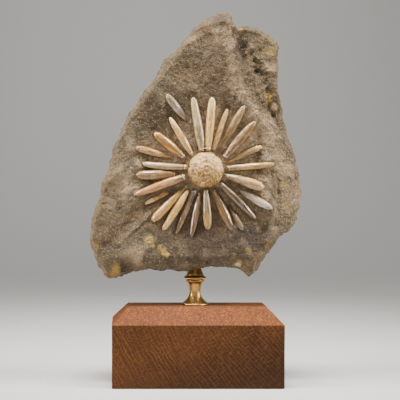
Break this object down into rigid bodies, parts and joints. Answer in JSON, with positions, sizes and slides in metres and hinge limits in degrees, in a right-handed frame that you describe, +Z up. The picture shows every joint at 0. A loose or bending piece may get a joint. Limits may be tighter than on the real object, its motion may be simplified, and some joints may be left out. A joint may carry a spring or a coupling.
{
  "type": "fossil sea urchin",
  "caption": "Fossil sea urchin with a round test and radiating club-shaped spines in an upright rough stone slab, on a turned brass post and a chamfered wooden block.",
  "frame": {"origin": "centre of the wooden block's flat underside", "axes": "+X to the viewer's right along the block's long side, -Y towards the viewer (the fossil's face), +Z up along the slab's height"},
  "size_m": [0.1745, 0.057, 0.309],
  "materials": {
    "block_wood": "oiled brown hardwood with fine end grain, satin",
    "post_brass": "turned and polished brass",
    "matrix_stone": "rough, matt grey-brown sandy matrix with ochre stains",
    "test_calcite": "worn, pinkish cream to tan calcite, granular and matt",
    "spine_grey": "silvery grey calcite, satin",
    "spine_cream": "cream to light orange calcite, satin",
    "spine_tan": "tan calcite, satin",
    "spine_brown": "red-brown to mauve calcite, satin"
  },
  "bodies": {
    "root": {"base_block": "block_wood", "brass_post": "post_brass", "matrix_slab": "matrix_stone", "urchin_test": "test_calcite", "spine_01": "spine_grey", "spine_02": "spine_grey", "spine_03": "spine_cream", "spine_04": "spine_tan", "spine_05": "spine_grey", "spine_06": "spine_brown", "spine_07": "spine_tan", "spine_08": "spine_tan", "spine_09": "spine_tan", "spine_10": "spine_grey", "spine_11": "spine_grey", "spine_12": "spine_tan", "spine_13": "spine_brown", "spine_14": "spine_tan", "spine_15": "spine_brown", "spine_16": "spine_grey", "spine_17": "spine_cream", "spine_18": "spine_cream", "spine_19": "spine_grey", "spine_20": "spine_brown", "spine_21": "spine_brown", "spine_22": "spine_grey", "spine_23": "spine_cream", "spine_24": "spine_tan", "spine_25": "spine_cream"}
  },
  "joints": []
}
